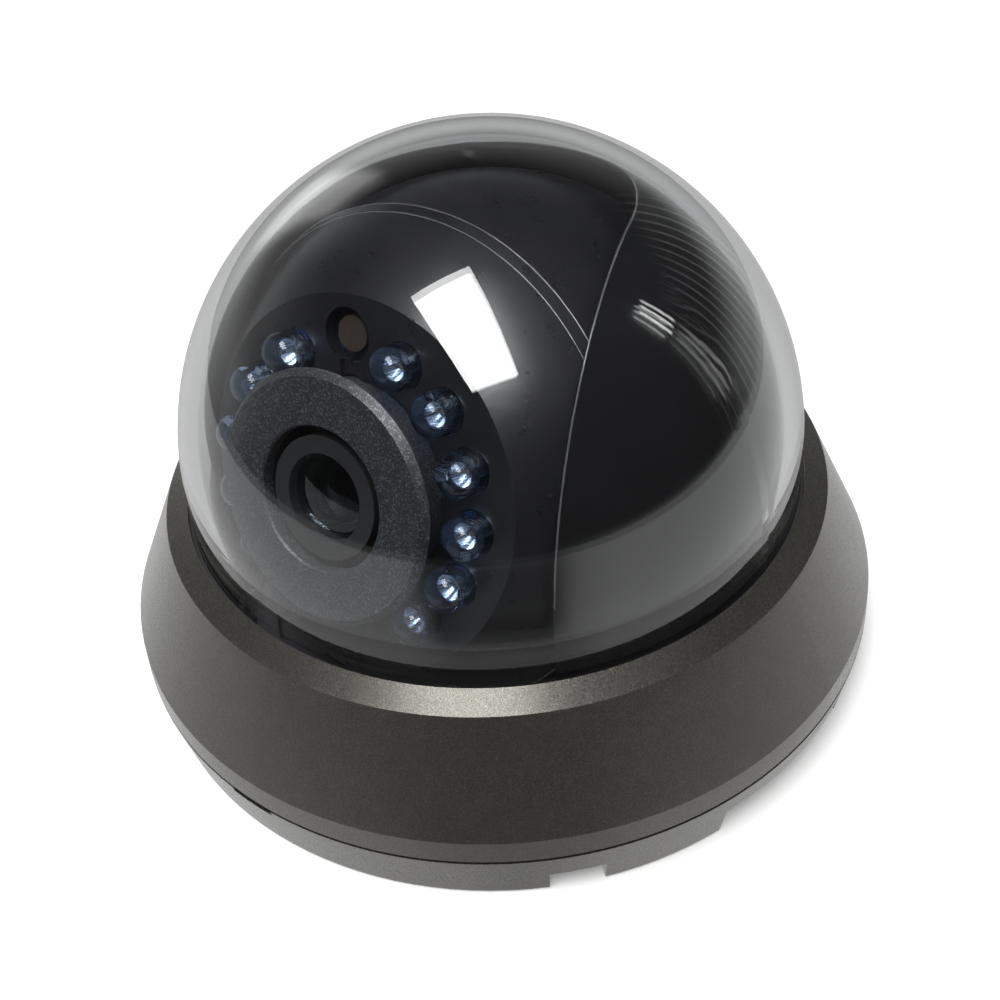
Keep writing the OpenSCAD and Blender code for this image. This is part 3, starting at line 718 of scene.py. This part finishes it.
def make_board_parts():
    """Capacitors and resistors with soldered ends on the back of the main board, clear of its other parts."""
    top = lens_box("main_board")[0].z
    bodies, ends = bmesh.new(), bmesh.new()
    for x, y, size_x, size_y, height in place_board_parts():
        half_x, half_y = size_x / 2, size_y / 2
        low, high = (x - half_x, y - half_y, top - height), (x + half_x, y + half_y, top)
        add_block(bodies, low, high, LENS_FRAME, 0.05 * MM)
        cap = END_SHARE * max(size_x, size_y)
        for side in (-1, 1):
            if size_x > size_y:
                x0, x1 = sorted((x + side * (half_x + END_PROUD), x + side * (half_x - cap)))
                y0, y1 = y - half_y - END_PROUD, y + half_y + END_PROUD
            else:
                y0, y1 = sorted((y + side * (half_y + END_PROUD), y + side * (half_y - cap)))
                x0, x1 = x - half_x - END_PROUD, x + half_x + END_PROUD
            add_block(ends, (x0, y0, top - height - END_PROUD), (x1, y1, top), LENS_FRAME, 0.04 * MM)
    for grid, name, material in ((bodies, "board_parts", CERAMIC), (ends, "board_part_ends", SOLDER)):
        piece = finish_mesh(grid, name)
        assign(piece, material)
        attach(piece, "face")


make_lamps()
make_lens()
make_slot_bead()
make_shell_edges()
make_board_parts()

# ---------------------------------------------------------------- floor, light and camera

CAMERA_AZIMUTH = 38.6  # from straight in front of the base, towards +X
CAMERA_REACH = 0.13513  # horizontal distance from the base's axis
CAMERA_HEIGHT = 0.13545
CAMERA_AIM_HEIGHT = 0.01808
CAMERA_AIM_ASIDE = 0.00036  # how far the aim lies to the right of the base's axis
CAMERA_ROLL = -4.59
CAMERA_LENS_MM = 50.4
CAMERA_SENSOR_MM = 36.0
CAMERA_NEAR = 0.005  # nothing closer than this is drawn


def around(azimuth, reach, height):
    """Point at an azimuth from straight in front, turned towards +X."""
    a = math.radians(azimuth)
    return Vector((reach * math.sin(a), -reach * math.cos(a), height))


def make_camera():
    data = bpy.data.cameras.new("camera")
    data.lens = CAMERA_LENS_MM
    data.sensor_width = CAMERA_SENSOR_MM
    data.clip_start = CAMERA_NEAR
    camera = bpy.data.objects.new("camera", data)
    bpy.context.scene.collection.objects.link(camera)
    place = around(CAMERA_AZIMUTH, CAMERA_REACH, CAMERA_HEIGHT)
    aim = around(CAMERA_AZIMUTH + 90, CAMERA_AIM_ASIDE, CAMERA_AIM_HEIGHT)
    back = (place - aim).normalized()
    right = Vector((0, 0, 1)).cross(back).normalized()
    up = back.cross(right)
    roll = math.radians(CAMERA_ROLL)
    across = right * math.cos(roll) + up * math.sin(roll)
    upward = back.cross(across)
    camera.matrix_world = Matrix.Translation(place) @ Matrix((across, upward, back)).transposed().to_4x4()
    bpy.context.scene.camera = camera


FLOOR_HALF = 4.0
FLOOR_CLOUDS = 12  # features per metre
FLOOR_GLOW = 0.2  # keeps the far floor as pale as the near floor


def make_floor():
    """A plain pale floor that isn't mirrored by the object and isn't seen through clear parts."""
    grid = bmesh.new()
    bmesh.ops.create_grid(grid, x_segments=8, y_segments=8, size=FLOOR_HALF)
    floor = finish_mesh(grid, "floor")
    material, tree, shader = new_material("floor_pale")
    coords = object_coords(tree)
    stops = [(0.3, (0.83, 0.83, 0.825)), (0.7, (0.85, 0.85, 0.845))]
    tint = ramp(tree, noise(tree, coords, FLOOR_CLOUDS, 3.0), stops)
    link(tree, tint, shader.inputs["Base Color"])
    shader.inputs["Roughness"].default_value = 0.7
    shader.inputs["Emission Color"].default_value = (1, 1, 1, 1)
    shader.inputs["Emission Strength"].default_value = FLOOR_GLOW
    assign(floor, material)
    floor.visible_glossy = False
    floor.visible_transmission = False


PANEL_HEIGHT = 1.0
PANEL_SIZE = (0.35, 0.785)
PANEL_REACH = 0.359
PANEL_AZIMUTH = CAMERA_AZIMUTH - 12.9
PANEL_TURN = CAMERA_AZIMUTH + 19.0
PANEL_WATTS = 10.5
FILL_FROM = CAMERA_AZIMUTH - 60
FILL_SPREAD = 70
FILL_STRENGTH = 2.3


def make_lights():
    """An overhead panel, whose reflection is the bright window on the dome, and a soft fill from the left."""
    data = bpy.data.lights.new("panel", "AREA")
    data.shape = "RECTANGLE"
    data.size, data.size_y = PANEL_SIZE
    data.energy = PANEL_WATTS
    panel = bpy.data.objects.new("panel", data)
    bpy.context.scene.collection.objects.link(panel)
    place = around(PANEL_AZIMUTH, PANEL_REACH, PANEL_HEIGHT)
    turn = Matrix.Rotation(math.radians(PANEL_TURN), 4, "Z")
    panel.matrix_world = Matrix.Translation(place) @ turn
    sun = bpy.data.lights.new("soft_fill", "SUN")
    sun.angle = math.radians(FILL_SPREAD)
    sun.energy = FILL_STRENGTH
    fill = bpy.data.objects.new("soft_fill", sun)
    bpy.context.scene.collection.objects.link(fill)
    direction = -around(FILL_FROM, 0.5, 1.0).normalized()
    fill.matrix_world = direction.to_track_quat("-Z", "Y").to_matrix().to_4x4()
    fill.visible_glossy = False
    fill.visible_transmission = False


def smooth_step(tree, value, start, end):
    """0 at start, 1 at end, smooth between."""
    node = add(tree, "ShaderNodeMapRange", interpolation_type="SMOOTHSTEP")
    node.inputs["From Min"].default_value = start
    node.inputs["From Max"].default_value = end
    link(tree, value, node.inputs["Value"])
    return node.outputs["Result"]


def maths(tree, operation, a, b=0.0):
    """One maths node on two values, each of which is a socket or a number."""
    node = add(tree, "ShaderNodeMath", operation=operation)
    for value, socket in ((a, node.inputs[0]), (b, node.inputs[1])):
        if isinstance(value, bpy.types.NodeSocket):
            link(tree, value, socket)
        else:
            socket.default_value = value
    return node.outputs[0]


def span(tree, value, low, high, soft):
    """1 between low and high, with edges that fade over the width soft."""
    rise = smooth_step(tree, value, low - soft / 2, low + soft / 2)
    fall = smooth_step(tree, value, high + soft / 2, high - soft / 2)
    return maths(tree, "MULTIPLY", rise, fall)


# Soft areas of the room: lowest and highest azimuth and fade, the same in elevation, and brightness.
# Azimuths are counted from the camera's side of the object, and grow towards the camera's right.
WALLS = (
    ((-240, -100, 50), (-3, 29, 26), 0.31),  # wall at the back left
    ((148, 240, 50), (-3, 30, 26), 0.30),  # wall at the back right
    ((-400, 400, 1), (65, 400, 50), 0.05),  # ceiling
    ((-161, -145, 5), (0, 27, 6), 0.95),  # second, distant window
)
TABLE = (
    ((-400, 400, 1), (-400, -9, 0.8), 0.56),  # table top
    ((-150, -30, 24), (-400, -9, 0.8), 0.26),  # its lighter left part
    ((30, 132, 24), (-400, -6, 4), 0.40),  # its lighter right part
)
TABLE_SHADE = ((-27, 20, 14), (-42, -8, 8), 0.9)  # darker part of the table in front
BLIND = ((90, 142, 10), (-8, 29, 10), 0.34)
SLAT_PITCH = 3.4
SLAT_EDGE = (0.55, 0.95)  # the stretch of each sine wave over which a slat goes from dark to bright
BRIGHT_SLATS = (91.5, 94.2, 96.6)
BRIGHT_SLAT_HALF = 0.55
BRIGHT_SLAT_FADE = 0.4
BRIGHT_SLAT_PARTS = (((28, 39.8, 1.6), 9.0), ((3, 25.5, 4), 1.6))  # elevations and brightness
ROOM_BASE = 0.03
# What is seen through clear parts: the table, the low part of the room behind the object, and dimmed walls
THROUGH_TABLE = ((-400, 400, 1), (-400, -9, 0.8), 0.42)
THROUGH_BEHIND = (((-260, -105, 20), (-400, 4, 16), 0.42), ((105, 260, 20), (-400, 4, 16), 0.42))
THROUGH_WALLS = 0.38


def world_angles(tree):
    """Azimuth from the camera's side and elevation of each direction, in degrees."""
    turned = add(tree, "ShaderNodeVectorRotate", rotation_type="Z_AXIS")
    turned.inputs["Angle"].default_value = math.radians(-CAMERA_AZIMUTH)
    link(tree, add(tree, "ShaderNodeTexCoord").outputs["Generated"], turned.inputs["Vector"])
    split = add(tree, "ShaderNodeSeparateXYZ")
    link(tree, turned.outputs["Vector"], split.inputs["Vector"])
    back = maths(tree, "MULTIPLY", split.outputs["Y"], -1.0)
    azimuth = maths(tree, "ARCTAN2", split.outputs["X"], back)
    elevation = maths(tree, "ARCSINE", split.outputs["Z"])
    return [maths(tree, "MULTIPLY", angle, 180 / math.pi) for angle in (azimuth, elevation)]


def room_light(tree):
    """Brightness of the room in each direction: as the object mirrors it, and as seen through clear parts."""
    azimuth, elevation = world_angles(tree)

    def area(azimuths, elevations, level):
        across = span(tree, azimuth, *azimuths)
        upward = span(tree, elevation, *elevations)
        return maths(tree, "MULTIPLY", maths(tree, "MULTIPLY", across, upward), level)

    def add_up(areas, start):
        total = start
        for patch in areas:
            total = maths(tree, "ADD", total, area(*patch))
        return total

    shade = maths(tree, "SUBTRACT", 1.0, area(*TABLE_SHADE))
    wave = maths(tree, "SINE", maths(tree, "MULTIPLY", azimuth, 2 * math.pi / SLAT_PITCH))
    blind = maths(tree, "MULTIPLY", smooth_step(tree, wave, *SLAT_EDGE), area(*BLIND))
    for centre in BRIGHT_SLATS:
        line = (centre - BRIGHT_SLAT_HALF, centre + BRIGHT_SLAT_HALF, BRIGHT_SLAT_FADE)
        blind = add_up([(line, elevations, level) for elevations, level in BRIGHT_SLAT_PARTS], blind)
    walls = maths(tree, "ADD", add_up(WALLS, blind), ROOM_BASE)
    mirrored = maths(tree, "ADD", walls, maths(tree, "MULTIPLY", add_up(TABLE, 0.0), shade))
    through = maths(tree, "MULTIPLY", area(*THROUGH_TABLE), shade)
    for patch in THROUGH_BEHIND:
        through = maths(tree, "MAXIMUM", through, area(*patch))
    through = maths(tree, "ADD", through, maths(tree, "MULTIPLY", walls, THROUGH_WALLS))
    return mirrored, through


def make_world():
    """White to the camera, but a dim room with a striped blind in reflections and through clear parts."""
    world = bpy.data.worlds.new("world")
    bpy.context.scene.world = world
    world.use_nodes = True
    tree = world.node_tree
    mirrored, through = room_light(tree)
    rays = add(tree, "ShaderNodeLightPath")
    background = tree.nodes["Background"]
    link(tree, mirrored, background.inputs["Color"])
    seen_through = tree.nodes.new("ShaderNodeBackground")
    link(tree, through, seen_through.inputs["Color"])
    white = tree.nodes.new("ShaderNodeBackground")
    white.inputs["Color"].default_value = (1, 1, 1, 1)
    surface = background.outputs[0]
    for other, ray in ((seen_through, "Is Transmission Ray"), (white, "Is Camera Ray")):
        mix = tree.nodes.new("ShaderNodeMixShader")
        link(tree, rays.outputs[ray], mix.inputs[0])
        link(tree, surface, mix.inputs[1])
        link(tree, other.outputs[0], mix.inputs[2])
        surface = mix.outputs[0]
    link(tree, surface, tree.nodes["World Output"].inputs["Surface"])


make_camera()
make_floor()
make_lights()
make_world()
bpy.context.scene.view_settings.view_transform = "Standard"
